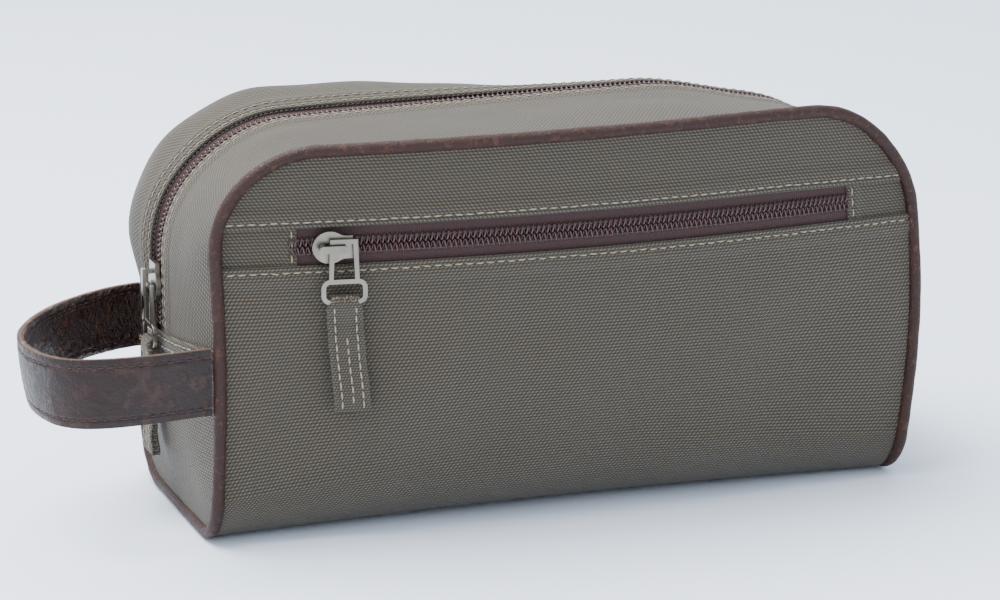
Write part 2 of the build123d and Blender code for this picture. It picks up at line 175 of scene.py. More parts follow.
def rearFace(x, z):
    free = smooth((z - 20) / 30) * smooth((seamHeight(x) - z) / 15) * smooth((halfLength - np.abs(x)) / 14)
    return np.stack([x + 0 * z, rearReach(x, z) + 0.9 * ripple(x, z, 9, 110) * free, z + 0 * x], -1)


def wrapSection(x, share, top):
    # one strip of the body at x, by share 0..5: down the front from top, round its foot, along
    # the base, round the rear foot, and up the back to the seam
    foot, rear = frontFoot(x), bag["rearFoot"]
    a, b, c, d, e = (np.clip(share - k, 0, 1) for k in range(5))
    zFront = np.where(share <= 1, top + (foot - top) * a, foot * (1 - np.sin(b * pi / 2)))
    zRear = np.where(share <= 4, rear * (1 - np.cos(d * pi / 2)), rear + (seamHeight(x) - rear) * e)
    front, back = frontFace(x, zFront), rearFace(x, zRear)
    base = frontFace(x, 0 * zFront) * (1 - c)[..., None] + rearFace(x, 0 * zRear) * c[..., None]
    lower = np.where((share <= 3)[..., None], base, back)
    return np.where((share <= 2)[..., None], front, lower)


def archLine(t, wide, radius, foot):
    # x and z on a rounded arch, t from -3 to 3: up the left side, over the corner, across the
    # top, over the right corner, and down
    m = np.abs(t)
    run, turn, drop = np.clip(m, 0, 1), np.clip(m - 1, 0, 1) * pi / 2, np.clip(m - 2, 0, 1)
    x = np.sign(t) * (run * (wide - radius) + radius * np.sin(turn))
    z = seamTop - radius * (1 - np.cos(turn)) - drop * (seamTop - radius - foot)
    return x, z


def zipArch(t):
    # the wider arch that the middle of the main zip follows
    return archLine(t, halfLength + bag["endBulge"], bag["zipCornerRadius"], gussetFoot)


def gusset(t, w, out=0.0):
    # the strip over the top and the ends, t along the arch and w from -1 at the front seam to 1
    # at the rear: the seams' arch runs over into the zip's wider one, crowned along the middle
    full = 1 - np.abs(w) ** bag["fullness"]
    seamX, seamZ = archLine(t, halfLength, bag["cornerRadius"], gussetFoot)
    zipX, zipZ = zipArch(t)
    x, z = seamX + (zipX - seamX) * full, seamZ + (zipZ - seamZ) * full
    over = smooth((1.6 - np.abs(t)) / 0.9)
    z = z + bag["crown"] * full * over * (0.55 + 0.45 * smooth((x + 90) / 120))
    y = np.where(w < 0, w * frontLine(x), w * backLine(x))
    pull = 0.5 * ripple(x * 1.0 + z, y, 21, 60) * full * smooth((np.abs(y) - 14) / 12)
    angle = np.clip(np.abs(t) - 1, 0, 1) * pi / 2
    rear = np.sin(pi * np.clip(w, 0, 1)) * smooth((0.3 - t) / 1.1) * smooth((t + 3) / 1.2)
    lift = out + pull + bag["rearPuff"] * rear
    return np.stack([x + np.sign(t) * np.sin(angle) * lift, y, z + np.cos(angle) * lift], -1)


def endPanel(side, height, w, out=0.0):
    # an end below its cross seam: the width follows the rounded feet of the long sides, and
    # the middle bulges further out the higher it is
    footF, footR = bag["frontFoot"], bag["rearFoot"]
    low = -halfDepth + footInset(height, footF)
    high = halfDepth - footInset(height, footR)
    y = low + (high - low) * (w + 1) / 2
    full = 1 - np.abs(w) ** bag["fullness"]
    x = halfLength + bag["endBulge"] * full * smooth(height / 48 + 0.1) + out
    free = full * smooth(height / 18) * smooth((46 - height) / 20)
    x = x + 0.7 * ripple(y + 40 * side, height, 33, 48) * free
    return np.stack([side * x, y, height], -1)


def lengthsAlong(points):
    steps = np.linalg.norm(np.diff(points, axis=0), axis=-1)
    return np.concatenate([[0], np.cumsum(steps)])


def resample(points, count):
    # the same line at count evenly spaced points
    run = lengthsAlong(points)
    at = np.linspace(0, run[-1], count)
    return np.stack([np.interp(at, run, points[:, k]) for k in range(points.shape[1])], -1)


# meshes
materials = {}


def makeObject(name, points, faces, uv=None, finish=None, slot=None, body="bag", bendsTo=None):
    # points in millimetres and faces by index become one smooth object in metres
    mesh = bpy.data.meshes.new(name)
    mesh.from_pydata((np.asarray(points).reshape(-1, 3) * mm).tolist(), [], faces)
    if uv is not None:
        layer = mesh.uv_layers.new(name="UVMap")
        layer.data.foreach_set("uv", np.asarray(uv, np.float32).ravel())
    mesh.polygons.foreach_set("use_smooth", np.ones(len(mesh.polygons), bool))
    mesh.update()
    made = bpy.data.objects.new(name, mesh)
    bpy.context.scene.collection.objects.link(made)
    mesh.materials.append(materials[finish])
    if body and not bendsTo:
        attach(made, body)
    return made


def gridFaces(rows, cols, closeRows=False, closeCols=False, flip=False):
    # corner indices, and the unwrapped row and column of each, for the quads of a grid
    i, j = np.meshgrid(np.arange(rows if closeRows else rows - 1),
                       np.arange(cols if closeCols else cols - 1), indexing="ij")
    turn = ((0, 0), (1, 0), (1, 1), (0, 1))
    turn = turn[::-1] if flip else turn
    row = np.stack([i + a for a, b in turn], -1).reshape(-1, 4)
    col = np.stack([j + b for a, b in turn], -1).reshape(-1, 4)
    return (row % rows) * cols + col % cols, row, col


def gridObject(name, grid, alongU, alongV, closeRows=False, closeCols=False, caps=False,
               inside=None, **rest):
    # a mesh over a grid of points; U follows the rows and V the columns, in millimetres
    rows, cols = grid.shape[:2]
    quads, row, col = gridFaces(rows, cols, closeRows, closeCols)
    flat = grid.reshape(-1, 3)
    a, b, c, d = (flat[quads[:, k]] for k in range(4))
    facing = np.cross(c - a, d - b)
    middle = (a + b + c + d) / 4
    away = middle - (flat.mean(0) if inside is None else np.array(inside))
    if closeCols and inside is None:
        ring = grid.mean(1)
        away = middle - ring[row[:, 0] % rows]
    if np.sum(facing * away) < 0:
        quads, row, col = gridFaces(rows, cols, closeRows, closeCols, flip=True)
        flipped = True
    else:
        flipped = False
    faces = quads.tolist()
    uv = np.stack([alongU[row, col], alongV[row, col]], -1).reshape(-1, 2)
    if caps:
        first, last = list(range(cols)), list(range((rows - 1) * cols, rows * cols))
        faces += [first if flipped else first[::-1], last[::-1] if flipped else last]
        uv = np.concatenate([uv, np.zeros((2 * cols, 2))])
    return makeObject(name, flat, faces, uv=uv, **rest)


def tubeObject(name, path, section, up, closed=False, scaleAt=None, **rest):
    # a section (n x 2, across and up) carried along a path; up is the direction, at each point
    # of the path, that the section's second axis leans towards
    if closed:
        tangent = np.roll(path, -1, 0) - np.roll(path, 1, 0)
    else:
        tangent = np.gradient(path, axis=0)
    tangent = tangent / np.linalg.norm(tangent, axis=1, keepdims=True)
    upward = up - np.sum(up * tangent, 1, keepdims=True) * tangent
    upward = upward / np.linalg.norm(upward, axis=1, keepdims=True)
    across = np.cross(tangent, upward)
    shape = section if section.ndim == 3 else np.broadcast_to(section, (len(path),) + section.shape)
    if scaleAt is not None:
        shape = shape * scaleAt[:, None, None]
    grid = path[:, None, :] + shape[..., :1] * across[:, None, :] + shape[..., 1:] * upward[:, None, :]
    run = lengthsAlong(np.concatenate([path, path[:1]]))
    ring = np.concatenate([shape[len(path) // 2], shape[len(path) // 2][:1]])
    around = lengthsAlong(ring)
    alongU = np.repeat(run[:, None], len(around), 1)
    alongV = np.repeat(around[None, :], len(run), 0)
    return gridObject(name, grid, alongU, alongV, closeRows=closed, closeCols=True,
                      caps=not closed, **rest)


def circle(radius, count):
    turn = np.arange(count) * 2 * pi / count
    return np.stack([radius * np.cos(turn), radius * np.sin(turn)], -1)


def stitches(name, rows, pitch, radius=0.34, gap=0.9, sink=0.25, finish="creamThread",
             slot="nylon", body="bag", bendsTo=None, seed=1):
    # lines of thread: each stitch is a small closed grain, its ring radii and height following
    # half a sine wave, between two points of a row; rows are (points, normals) pairs
    rng = np.random.default_rng(seed)
    starts, ends, ups = [], [], []
    for points, normals in rows:
        run = lengthsAlong(points)
        count = max(int(run[-1] / pitch), 1)
        cut = np.arange(count) * run[-1] / count
        first, last = cut + gap / 2, cut + run[-1] / count - gap / 2
        pick = lambda at, line: np.stack([np.interp(at, run, line[:, k]) for k in range(3)], -1)
        starts.append(pick(first, points))
        ends.append(pick(last, points))
        ups.append(pick((first + last) / 2, normals))
    start, end, up = np.concatenate(starts), np.concatenate(ends), np.concatenate(ups)
    up = up / np.linalg.norm(up, axis=1, keepdims=True)
    ahead = end - start
    side = np.cross(ahead, up)
    side = side / np.linalg.norm(side, axis=1, keepdims=True)
    jitter = rng.normal(0, 0.09, (len(start), 2))
    rings, sides = 5, 6
    share = np.linspace(0, 1, rings)
    arch = np.sin(pi * (0.06 + 0.88 * share))
    turn = np.arange(sides) * 2 * pi / sides
    centre = start[:, None] + share[None, :, None] * ahead[:, None]
    centre = centre + (arch * (radius + sink * 0.6) - sink)[None, :, None] * up[:, None]
    centre = centre + side[:, None] * (jitter[:, :1] + (jitter[:, 1:] - jitter[:, :1]) * share)[..., None]
    thick = radius * (0.35 + 0.65 * arch)
    grid = centre[:, :, None] + thick[None, :, None, None] * (
        np.cos(turn)[None, None, :, None] * side[:, None, None]
        + np.sin(turn)[None, None, :, None] * up[:, None, None])
    quads, _, _ = gridFaces(rings, sides, closeCols=True, flip=True)
    each = rings * sides
    offset = (np.arange(len(start)) * each)[:, None, None]
    faces = (offset + quads[None]).reshape(-1, 4).tolist()
    firstRing = np.arange(sides)
    lastRing = (rings - 1) * sides + np.arange(sides)[::-1]
    faces += (offset[:, :, 0] + firstRing[None]).tolist() + (offset[:, :, 0] + lastRing[None]).tolist()
    return makeObject(name, grid, faces, finish=finish, slot=slot, body=body, bendsTo=bendsTo)


def solidify(piece, thickness):
    # a wall on the inner side of a sheet
    wall = piece.modifiers.new("wall", "SOLIDIFY")
    wall.thickness = thickness * mm
    wall.offset = -1
    return piece


# shader maths: a socket that takes part in Python expressions
class Wire:
    def __init__(self, tree, socket):
        self.tree, self.socket = tree, socket

    def node(self, kind, settings=None, out=0, **inputs):
        made = self.tree.nodes.new(kind)
        for key, value in (settings or {}).items():
            setattr(made, key, value)
        for key, value in inputs.items():
            place = made.inputs[int(key[1:])] if key[0] == "i" and key[1:].isdigit() else made.inputs[key]
            if isinstance(value, Wire):
                self.tree.links.new(value.socket, place)
            else:
                place.default_value = value
        return Wire(self.tree, made.outputs[out])

    def maths(self, operation, *values, clamp=False):
        return self.node("ShaderNodeMath", {"operation": operation, "use_clamp": clamp},
                         **{"i%d" % k: v for k, v in enumerate(values)})

    def __add__(self, other):
        return self.maths("ADD", self, other)

    def __radd__(self, other):
        return self.maths("ADD", other, self)

    def __sub__(self, other):
        return self.maths("SUBTRACT", self, other)

    def __rsub__(self, other):
        return self.maths("SUBTRACT", other, self)

    def __mul__(self, other):
        return self.maths("MULTIPLY", self, other)

    def __rmul__(self, other):
        return self.maths("MULTIPLY", other, self)

    def __truediv__(self, other):
        return self.maths("DIVIDE", self, other)

    def __pow__(self, other):
        return self.maths("POWER", self, other)

    def floor(self):
        return self.maths("FLOOR", self)

    def part(self):
        return self.maths("FRACT", self)

    def size(self):
        return self.maths("ABSOLUTE", self)

    def wave(self):
        return self.maths("SINE", self)

    def clipped(self):
        return self.maths("ADD", self, 0.0, clamp=True)

    def larger(self, other):
        return self.maths("MAXIMUM", self, other)

    def mix(self, first, second):
        # two colours mixed by this socket
        return self.node("ShaderNodeMix", {"data_type": "RGBA"}, out=2, i0=self, i6=first, i7=second)


def rgb(text, gain=1.0):
    # a display colour such as 6a675d as scene-linear numbers
    parts = [int(text[k:k + 2], 16) / 255 for k in (0, 2, 4)]
    linear = [p / 12.92 if p <= 0.04045 else ((p + 0.055) / 1.055) ** 2.4 for p in parts]
    return tuple(min(p * gain, 1) for p in linear)


def material(name):
    # a material with one shader, and the sockets that its pattern starts from
    made = bpy.data.materials.new(name)
    made.use_nodes = True
    tree = made.node_tree
    shader = tree.nodes["Principled BSDF"]
    seed = Wire(tree, None)
    place = seed.node("ShaderNodeTexCoord", out=3)
    uv = seed.node("ShaderNodeUVMap", {"uv_map": "UVMap"})
    materials[name] = made
    return shader, seed, place, uv


def noiseOf(start, vector, scale, detail=3.0, rough=0.55):
    return start.node("ShaderNodeTexNoise", Vector=vector, Scale=scale, Detail=detail, Roughness=rough)


def finishShader(shader, seed, colour, rough, height=None, depth=0.0002, strength=1.0, **fixed):
    # links the pattern, and sets the shader's fixed numbers on its own sockets
    links = seed.tree.links
    if isinstance(colour, Wire):
        links.new(colour.socket, shader.inputs["Base Color"])
    else:
        shader.inputs["Base Color"].default_value = (*colour, 1)
    if isinstance(rough, Wire):
        links.new(rough.socket, shader.inputs["Roughness"])
    else:
        shader.inputs["Roughness"].default_value = rough
    if height is not None:
        bump = seed.node("ShaderNodeBump", Height=height, Distance=depth, Strength=strength)
        links.new(bump.socket, shader.inputs["Normal"])
    for key, value in fixed.items():
        shader.inputs[key.replace("_", " ")].default_value = value


def split(seed, vector):
    parts = seed.node("ShaderNodeSeparateXYZ", Vector=vector)
    node = parts.socket.node
    return [Wire(seed.tree, node.outputs[k]) for k in range(3)]


print("materials")


def weave(name, across, along, dark, light, lean, depth, gain=1.0, rough=0.62):
    # plain weave: rows of short floats, each row shifted by half a float, over lower threads; the colour runs
    # darker the lower the cloth lies, painted shade in the hollows
    shader, seed, place, uv = material(name)
    u, v, _ = split(seed, uv)
    drift = noiseOf(seed, uv, 0.05, 2.0)
    v2 = v / along + drift * 0.5
    row = v2.floor()
    fu = (u / across + row * 0.5).part() - 0.5
    fv = v2.part() - 0.5
    tilt = fu + fv * lean
    grain = (1 - (tilt.size() * 2.5) ** 2.0 - (fv.size() * 2.4) ** 2.0).clipped() ** 0.8
    under = (1 - ((fu.size() - 0.5) * 3.6).size() ** 2.0).clipped() * 0.3
    height = grain.larger(under)
    blotch = noiseOf(seed, place, 42.0, 4.0)
    fine = noiseOf(seed, uv, 1.7, 2.0)
    # painted shade: the colour follows the cloth's height, pale on the floats and dark in the hollows between
    # them
    shade = (height * (0.78 + fine * 0.44)).clipped()
    cloth = shade.mix((*rgb(dark, gain), 1), (*rgb(light, gain), 1))
    wearAndHighlight = ((blotch - 0.35) * 0.4).clipped().mix(cloth, (*rgb("3f382d"), 1))
    finishShader(shader, seed, wearAndHighlight, 0.9 - height * (0.9 - rough), height + fine * 0.12, depth,
                 0.85, Sheen_Weight=0.12, Sheen_Roughness=0.5)


weave("nylon", 1.49, 1.12, "0f0c08", "7f7157", 0.5, 0.0006, gain=0.62)
weave("lining", 0.5, 0.4, "1c1b1a", "45423f", 0.0, 0.0001)


def leather(name, base, deep, high, grain, depth, rough, coat=0.25, creases=0.5, bendScale=240.0):
    # smooth hide: fine cells for the grain, long crossing creases, and a painted highlight that makes what stands
    # proud paler
    shader, seed, place, uv = material(name)
    cells = seed.node("ShaderNodeTexVoronoi", {"feature": "DISTANCE_TO_EDGE"}, Vector=place, Scale=grain)
    bend = noiseOf(seed, place, bendScale, 5.0, 0.62)
    broad = noiseOf(seed, place, 55.0, 3.0)
    crease = 1 - ((bend - 0.5).size() * 9.0).clipped()
    height = (cells * 3.0).clipped() * 0.35 + bend * 0.8 - crease * creases
    tone = ((broad - 0.3) * 1.6).clipped().mix((*rgb(deep), 1), (*rgb(base), 1))
    # painted highlight: the colour turns to the paler high colour where the creased surface stands proud
    wearAndHighlight = ((bend - 0.52) * 4.5).clipped().mix(tone, (*rgb(high), 1))
    finishShader(shader, seed, wearAndHighlight, (rough + (broad - 0.5) * 0.25 + crease * 0.1).clipped(), height,
                 depth, 0.8, Coat_Weight=coat, Coat_Roughness=0.25, Specular_IOR_Level=0.3)


leather("pipingLeather", "35190f", "251009", "4c2a1c", 900.0, 0.0003, 0.5, 0.03, 0.6, 420.0)
leather("strapLeather", "3c1a0f", "240f08", "502a1a", 520.0, 0.002, 0.34, 0.1, 1.8, 190.0)
leather("strapBacking", "2c1813", "1a0d0a", "3b231c", 700.0, 0.0004, 0.45, 0.1, 0.6, 160.0)
leather("leatherEdge", "6b5042", "4b382e", "8a6f5e", 1200.0, 0.0003, 0.8, 0.0)


def thread(name, colour, deep, rough=0.7):
    # twisted thread: slanting bands of light and shade along the row
    shader, seed, place, uv = material(name)
    x, y, z = split(seed, place)
    twist = ((x + y * 0.6 + z * 1.3) * 9000.0).wave() * 0.5 + 0.5
    tone = (twist * 0.6 + noiseOf(seed, place, 300.0) * 0.4).mix((*rgb(deep), 1), (*rgb(colour), 1))
    finishShader(shader, seed, tone, rough, twist, 0.0001, 0.5, Sheen_Weight=0.15)


thread("creamThread", "a89d88", "776b57")
thread("brownThread", "431d18", "250f0c")
thread("zipThread", "42201d", "1a0a09")


def tapeCloth():
    # narrow ribs across the tape, with painted shade in the hollows between them
    shader, seed, place, uv = material("zipTape")
    u, v, _ = split(seed, uv)
    rib = (u * (2 * pi / 0.75)).wave() * 0.5 + 0.5
    cross = (v * (2 * pi / 0.6)).wave() * 0.5 + 0.5
    height = rib * 0.7 + cross * 0.3
    fine = noiseOf(seed, uv, 2.0)
    # painted shade: the colour follows the rib height, darker in the hollows
    tone = (height * 0.7 + fine * 0.3).mix((*rgb("1c0a09"), 1), (*rgb("3c1916"), 1))
    finishShader(shader, seed, tone, 0.75, height, 0.00015, 0.7, Sheen_Weight=0.2)


def coilPlastic():
    # moulded nylon wire, a little glossy, with faint change of tone
    shader, seed, place, uv = material("zipCoil")
    tone = noiseOf(seed, place, 160.0).mix((*rgb("200c0c"), 1), (*rgb("4a2422"), 1))
    finishShader(shader, seed, tone, 0.33, noiseOf(seed, place, 1500.0), 0.00005, 0.4, Coat_Weight=0.3)


def satinNickel():
    # plated casting: fine tumbling marks, duller in the hollows
    shader, seed, place, uv = material("nickel")
    marks = noiseOf(seed, place, 1400.0, 3.0)
    cloud = noiseOf(seed, place, 120.0, 3.0)
    tone = cloud.mix((*rgb("625d54"), 1), (*rgb("989184"), 1))
    finishShader(shader, seed, tone, (0.24 + marks * 0.14 + (cloud - 0.5) * 0.2).clipped(), marks,
                 0.00003, 0.35, Metallic=1.0)


def plainStuff(name, light, dark, scale, rough, depth):
    # foam, board and cord, which are inside the bag: grain of one size in two tones
    shader, seed, place, uv = material(name)
    grain = noiseOf(seed, place, scale, 4.0)
    finishShader(shader, seed, grain.mix((*rgb(dark), 1), (*rgb(light), 1)), rough, grain, depth, 0.6)


tapeCloth()
coilPlastic()
satinNickel()
plainStuff("foam", "d2cfc6", "a9a69c", 700.0, 0.9, 0.0003)
plainStuff("board", "3c3c3d", "232324", 300.0, 0.55, 0.0001)
plainStuff("cottonCord", "cfc5b2", "96897a", 900.0, 0.85, 0.0003)


# shells
def foldLift(d, lift=0.75, roll=0.9, row=2.3, end=8.0):
    # profile of a folded, topstitched edge by distance d from it: a quarter-round roll, double
    # cloth with a dimple along the stitch row, and a slope where the turned-in layer ends
    rounded = np.clip(roll - d, 0, roll)
    edge = -roll + np.sqrt(np.clip(roll ** 2 - rounded ** 2, 0, None))
    return edge + lift * smooth((end - d) / 3) - 0.32 * np.exp(-((d - row) / 0.65) ** 2)


# distances from a folded edge at which its cloth has a row of points, closest where it turns
foldSteps = np.array([0, 0.12, 0.3, 0.55, 0.85, 1.2, 1.6, 1.95, 2.3, 2.65, 3.0, 3.6, 4.4, 5.3, 6.2,
                      7.2, 8.2, 10])


def columns(low, high, count):
    # x of the columns, closer together towards both ends
    even = np.linspace(-1, 1, count)
    return (low + high) / 2 + (high - low) / 2 * np.sin(even * pi / 2 * 0.8) / sin(pi / 2 * 0.8)


def clothObject(name, grid, alongU, alongV, nodes, finish="nylon", slot="nylon", body="bag", thick=1.2):
    made = gridObject(name, grid, alongU, alongV, inside=bagMiddle, finish=finish, slot=slot, body=body)
    solidify(made, thick)
    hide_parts(*nodes)
    return made


stitchPitch = 3.7


def pucker(along, pitch=stitchPitch):
    # the cloth between two stitches stands a little prouder than under them
    return 0.12 * np.cos(along * 2 * pi / pitch)


print("shells")


def bodyWrap():
    x = columns(-halfLength, halfLength, 200)
    start = openingLow - foldSteps[-1]
    fold = foldSteps[:-1, None]
    lift = foldLift(fold) + pucker(x[None]) * np.exp(-((fold - 2.3) / 1.2) ** 2)
    edge = frontFace(x[None] + 0 * fold, openingLow - fold + 0 * x[None], lift)
    share = np.concatenate([np.linspace(0, 1, 44)[:-1], np.linspace(1, 2, 16)[:-1],
                            np.linspace(2, 3, 26)[:-1], np.linspace(3, 4, 16)[:-1],
                            np.linspace(4, 5, 44)])
    rest = wrapSection(x[None] + 0 * share[:, None], share[:, None] + 0 * x[None], start)
    grid = settle(np.concatenate([edge, rest]))
    middle = len(x) // 2
    run = lengthsAlong(grid[:, middle])
    u = np.repeat(x[None], len(run), 0)
    v = np.repeat(run[:, None], len(x), 1)
    return clothObject("bodyPanel", grid, u, v, ["main_body_panel"])


def upperPanel():
    reach = bag["cornerRadius"]
    base = openingHigh - (seamTop - reach)
    limit = halfLength - reach + sqrt(reach ** 2 - base ** 2) - 0.2
    x = columns(-limit, limit, 200)
    tall = seamHeight(x) - openingHigh
    share = np.concatenate([foldSteps[:-1] / (seamTop - openingHigh), np.linspace(10, 27, 14) / 27])
    d = share[:, None] * tall[None]
    lift = foldLift(d) + pucker(x[None]) * np.exp(-((d - 2.3) / 1.2) ** 2)
    lift = lift * smooth(tall / 4)[None]
    grid = settle(frontFace(x[None] + 0 * d, openingHigh + d, lift))
    return clothObject("frontUpperPanel", grid, x[None] + 0 * d, d + 130.3, ["front_upper_panel"])


def endPatch(name, node, inner, outer):
    # the cloth between the pocket's zip and a seam, its inner edge folded, lying under both panels
    sign = np.sign(inner)
    span = abs(outer - inner)
    d = np.concatenate([foldSteps[:-1], np.linspace(10, span, 14)])
    x = inner + sign * d
    low, high = openingLow - 4, np.minimum(openingHigh + 4, seamHeight(x) - 0.3)
    rows = np.linspace(0, 1, 24)[:, None]
    z = low + (high - low)[None] * rows
    lift = foldLift(d, 0.5, 0.7, 2.0, 6.0)[None] + pucker(z) * np.exp(-((d[None] - 2) / 1.2) ** 2) - 0.75
    grid = settle(frontFace(x[None] + 0 * z, z, lift))
    return clothObject(name, grid, x[None] + 0 * z, z, [node], thick=0.6)


bodyWrap()
upperPanel()
endPatch("pocketPatchLeft", "pocket_end_patch_left", openingLeft, -halfLength)
endPatch("pocketPatchRight", "pocket_end_patch_right", openingRight, halfLength)


# gusset: zip panels and end panels
zipEdge = 4.0
zipRows = (1.6, 4.8)
archSteps = np.concatenate([np.linspace(-3, -2, 34)[:-1], np.linspace(-2, -1, 40)[:-1],
                            np.linspace(-1, 1, 130)[:-1], np.linspace(1, 2, 40)[:-1],
                            np.linspace(2, 3, 34)])


def gussetAt(t, y, out=0.0):
    # the gusset at a distance y from the middle of the zip
    x0, _ = zipArch(t)
    w = np.where(y < 0, y / frontLine(x0), y / backLine(x0))
    return gusset(t + 0 * y, w, out)


def zipPanel(name, node, sign):
    x0, _ = zipArch(archSteps)
    wide = (frontLine(x0) if sign < 0 else backLine(x0))[:, None]
    share = np.linspace(0, 1, 26)[None, 1:]
    near = foldSteps[None] + zipEdge + 0 * wide
    away = near[:, -1:] + (wide - near[:, -1:]) * share
    y = np.concatenate([near, away], 1)
    d = y - zipEdge
    run = lengthsAlong(settle(gussetAt(archSteps, 0 * archSteps)))
    lift = foldLift(d, 0.6, 0.8, zipRows[0], 9.0) - 0.28 * np.exp(-((d - zipRows[1]) / 0.7) ** 2)
    besideRows = np.exp(-((d - zipRows[0]) / 1) ** 2) + np.exp(-((d - zipRows[1]) / 1) ** 2)
    lift = lift + pucker(run)[:, None] * besideRows
    lift = lift - 0.5 * np.exp(-((wide - y) / 3.5) ** 2)
    grid = settle(gussetAt(archSteps[:, None] + 0 * y, sign * y, lift))
    return clothObject(name, grid, run[:, None] + 0 * y, y, [node])


crossFall = 0.084    # the cross seam's slope towards the rear


def crossHeight(y):
    # the cross seam falls towards the rear
    return crossSeam - crossFall * y


def endPiece(name, node, sign):
    w = np.linspace(-1, 1, 70)[None]
    d = np.concatenate([foldSteps, np.linspace(10, crossSeam, 40)[1:]])[:, None]
    y = halfDepth * w
    share = d / crossSeam
    height = crossHeight(y) * (1 - share)
    lift = foldLift(d, 0.9, 0.8, 1.9, 7.5) + 0.25 - 0.25 * np.exp(-((d - 5.0) / 0.7) ** 2)
    lift = lift + pucker(y) * np.exp(-((d - 1.9) / 1) ** 2)
    lift = lift * smooth((1 - np.abs(w)) / 0.06)
    grid = settle(endPanel(sign, height, w + 0 * d, lift))
    return clothObject(name, grid, y + 0 * d, height, [node])


zipPanel("zipPanelFront", "gusset_front_panel", -1)
zipPanel("zipPanelRear", "gusset_rear_panel", 1)
endPiece("endPanelLeft", "end_panel_left", -1)
endPiece("endPanelRight", "end_panel_right", 1)


# piping
print("piping")


def seamLoop():
    # the closed line of the piping: each long seam up an end, over and down, joined under the ends
    r = bag["pipeRadius"]
    t = np.concatenate([np.linspace(-3, -2, 60), np.linspace(-2, -1, 60)[1:], np.linspace(-1, 1, 200)[1:],
                        np.linspace(1, 2, 60)[1:], np.linspace(2, 3, 60)[1:]])
    frontX, frontZ = archLine(t, halfLength, bag["cornerRadius"], bag["frontFoot"])
    rearX, rearZ = archLine(t, halfLength, bag["cornerRadius"], bag["rearFoot"])
    front = np.stack([frontX, -frontLine(frontX), frontZ], -1)
    rear = np.stack([rearX, backLine(rearX), rearZ], -1)[::-1]
    turn = np.linspace(0, pi / 2, 24)[1:]

    def under(x):
        # round the front foot, along the base and round the rear foot, at one end
        f, g = bag["frontFoot"] - r, bag["rearFoot"] - r
        first = np.stack([x + 0 * turn, -halfDepth + f * (1 - np.cos(turn)),
                          r + f * (1 - np.sin(turn))], -1)
        last = np.stack([x + 0 * turn, halfDepth - g * (1 - np.sin(turn)),
                         r + g * (1 - np.cos(turn))], -1)
        return np.concatenate([first, last])

    line = np.concatenate([front, under(halfLength), rear, under(-halfLength)[::-1]])
    line = settle(line)
    keepers = np.linalg.norm(np.diff(line, axis=0), axis=1) > 1e-6
    line = line[np.concatenate([[True], keepers])]
    return resample(np.concatenate([line, line[:1]]), 761)[:-1]


def piping():
    line = seamLoop()
    outward = line - bagMiddle
    run = lengthsAlong(line)
    fat = 1 + 0.035 * ripple(run, 0 * run, 5, 26) + 0.02 * ripple(run, 0 * run, 6, 9)
    cover = tubeObject("pipingCover", line, circle(bag["pipeRadius"], 20), outward, closed=True,
                       scaleAt=fat, finish="pipingLeather", slot="piping_leather", body="bag")
    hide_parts("piping_cover")
    cord = tubeObject("pipingCord", line, circle(1.25, 10), outward, closed=True,
                      finish="cottonCord", slot="cotton_cord", body="bag")
    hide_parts("piping_core")


piping()


# zips
print("zips")
zipCoil = dict(pitch=1.85, wire=0.37, middle=1.5, across=1.45, tall=0.5, depth=-0.35, steps=14, sides=6)
tapeDepth = -1.2


def coilAlong(name, nodes, line, up, side, sign, phase):
    # one half of a zip's coil: a wire wound in a flat helix beside the zip's middle line
    run = lengthsAlong(line)
    turns = int(run[-1] / zipCoil["pitch"])
    count = turns * zipCoil["steps"]
    at = np.linspace(0, run[-1], count)
    pick = lambda a: np.stack([np.interp(at, run, a[:, k]) for k in range(3)], -1)
    centre, upward, sideward = pick(line), pick(up), pick(side)
    turn = at / run[-1] * turns * 2 * pi + phase
    path = centre + sideward * sign * (zipCoil["middle"] - zipCoil["across"] * np.cos(turn))[:, None]
    path = path + upward * (zipCoil["depth"] + zipCoil["tall"] * np.sin(turn))[:, None]
    ahead = np.gradient(centre, axis=0)
    ahead = ahead / np.linalg.norm(ahead, axis=1, keepdims=True)
    made = tubeObject(name, path, circle(zipCoil["wire"], zipCoil["sides"]), ahead,
                      finish="zipCoil", slot="zip_coil", body="bag")
    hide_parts(*nodes)
    return made


def frameOf(line, up):
    # unit directions up from and across a line
    ahead = np.gradient(line, axis=0)
    ahead = ahead / np.linalg.norm(ahead, axis=1, keepdims=True)
    up = up - np.sum(up * ahead, 1, keepdims=True) * ahead
    up = up / np.linalg.norm(up, axis=1, keepdims=True)
    return up, np.cross(ahead, up)


def pocketZip():
    x = np.linspace(openingLeft - 3, openingRight + 3, 300)
    line = frontFace(x, pocketMiddle + 0 * x)
    up, side = frameOf(line, np.stack([0 * x, 0 * x - 1, 0 * x], -1))
    side = side * np.sign(side[:1, 2:])
    for row, sign in (("Upper", 1), ("Lower", -1)):
        node = row.lower()
        coilAlong("pocketCoil" + row, ["pocket_zip_coil_" + node], line, up, side, sign, pi * (sign < 0))
        z = pocketMiddle + sign * np.linspace(0.7, 13.0, 12)[:, None]
        xs = np.linspace(openingLeft - 6, openingRight + 6, 160)[None]
        grid = frontFace(xs + 0 * z, z + 0 * xs, tapeDepth + 0 * z * xs)
        grid = settle(grid)
        clothObject("pocketTape" + row, grid, xs + 0 * z, z + 0 * xs, ["pocket_zip_tape_" + node],
                    "zipTape", "zip_tape", thick=0.6)
        rowZ = pocketMiddle + sign * 2.35
        thread = frontFace(x, rowZ + 0 * x, 0.22 + 0 * x)
        stitches("pocketCoilThread" + row, [(thread, up)], 1.85, 0.28, 0.25, 0.1, "zipThread", "zip_tape")


